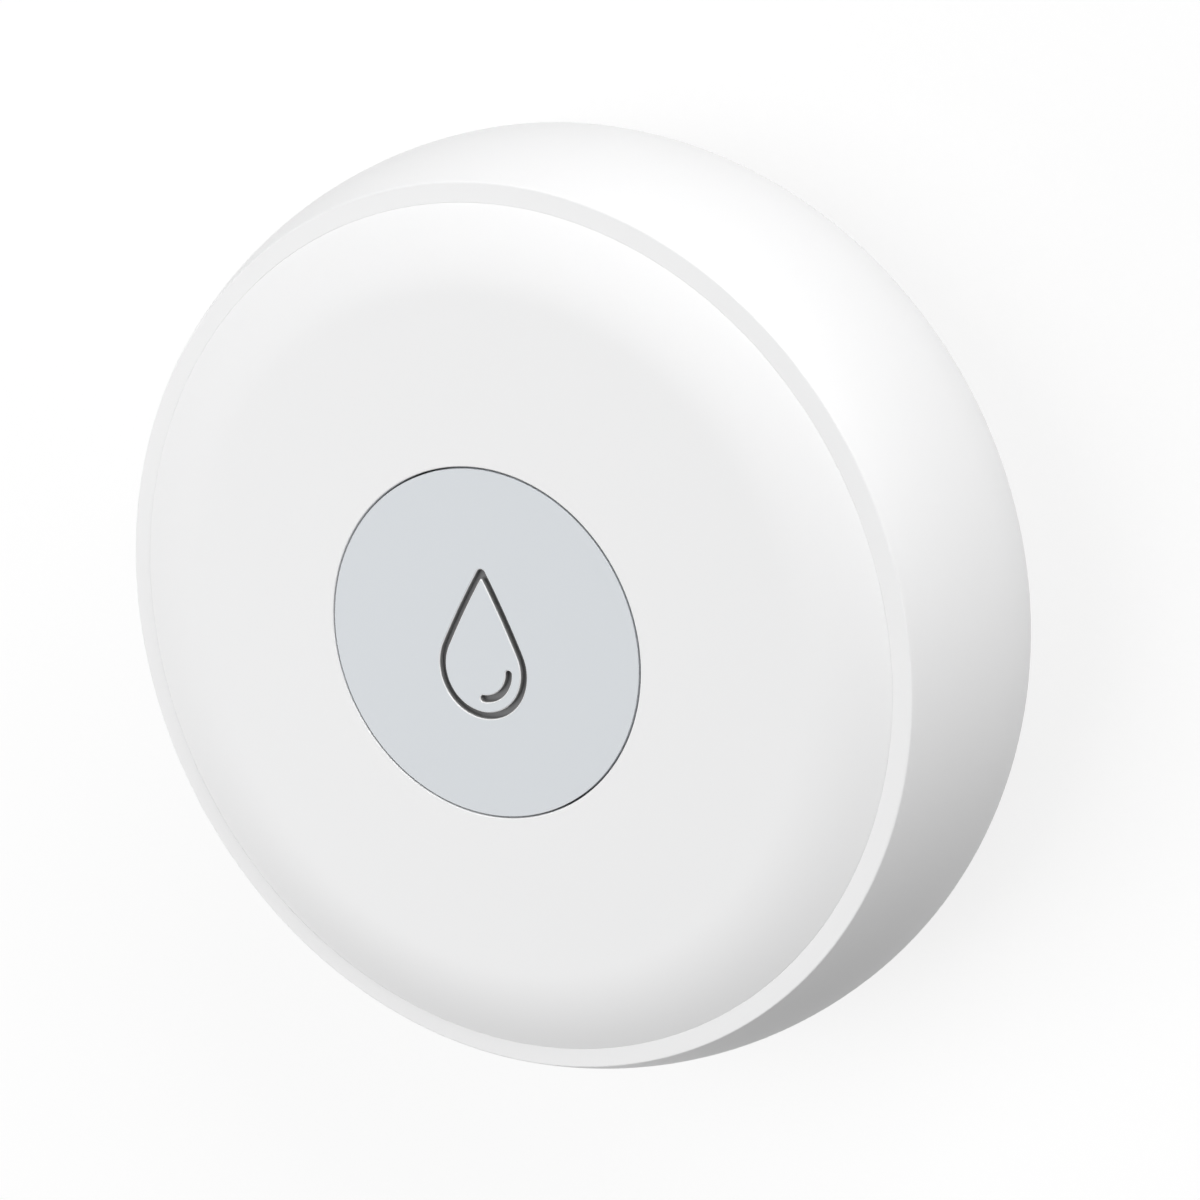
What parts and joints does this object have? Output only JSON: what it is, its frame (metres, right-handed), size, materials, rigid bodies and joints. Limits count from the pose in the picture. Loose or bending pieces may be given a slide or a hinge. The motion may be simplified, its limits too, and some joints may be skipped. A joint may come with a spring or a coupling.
{
  "type": "water leak sensor",
  "caption": "Round white puck that senses spilled water at steel probe screws in its back, with a central droplet push button and a coin-slotted battery door.",
  "frame": {"origin": "centre of the bounding box's bottom, on the floor plane under the probe screws' heads", "axes": "+Z out of the front face, +Y towards the droplet's tip, +X to the droplet's right"},
  "size_m": [0.06, 0.06, 0.0215],
  "materials": {
    "white_case": "satin white moulded plastic",
    "silver_button": "fine satin silver-grey lacquer",
    "smoked_window": "dark smoked translucent plastic",
    "clear_guide": "clear moulded plastic",
    "silicone": "grey translucent silicone",
    "steel": "bright stainless steel",
    "brass": "nickel-free turned brass",
    "board": "green solder mask over glass laminate",
    "black_plastic": "black moulded component body",
    "lamp_plastic": "pale lamp body with a resin lens",
    "tinned_shield": "tinned sheet steel",
    "copper_trace": "bare copper",
    "cell_steel": "nickel-plated steel can",
    "spring_metal": "phosphor-bronze spring strip"
  },
  "bodies": {
    "case": {"housing": "white_case", "front_cover": "white_case", "cover_gasket": "silicone", "case_screws": "steel", "probe_screws": "steel", "probe_orings": "silicone", "probe_standoffs": "brass", "circuit_board": "board", "tact_switch": "black_plastic", "status_leds": "lamp_plastic", "radio_module": "board", "shield_can": "tinned_shield", "antenna_trace": "copper_trace", "sensing_chip": "black_plastic", "board_components": "black_plastic", "coin_cell": "cell_steel", "negative_contact": "spring_metal", "positive_contact": "spring_metal", "button_membrane": "silicone", "membrane_clamp": "white_case", "clamp_screws": "steel"},
    "battery_door": {"battery_door": "white_case", "door_seal": "silicone"},
    "button": {"button_cap": "silver_button", "droplet_window": "smoked_window", "light_guide": "clear_guide", "switch_plunger": "black_plastic"}
  },
  "joints": [
    {"name": "button_press", "type": "slide", "parent": "case", "child": "button", "axis": [0, 0, -1], "range_m": [0, 0.0003], "stiffness_N_per_m": 5000, "deforming": ["button_membrane"]},
    {"name": "battery_door_twist", "type": "hinge", "parent": "case", "child": "battery_door", "pos_m": [0, 0, 0.0008], "axis": [0, 0, -1], "range_deg": [0, 35]}
  ]
}
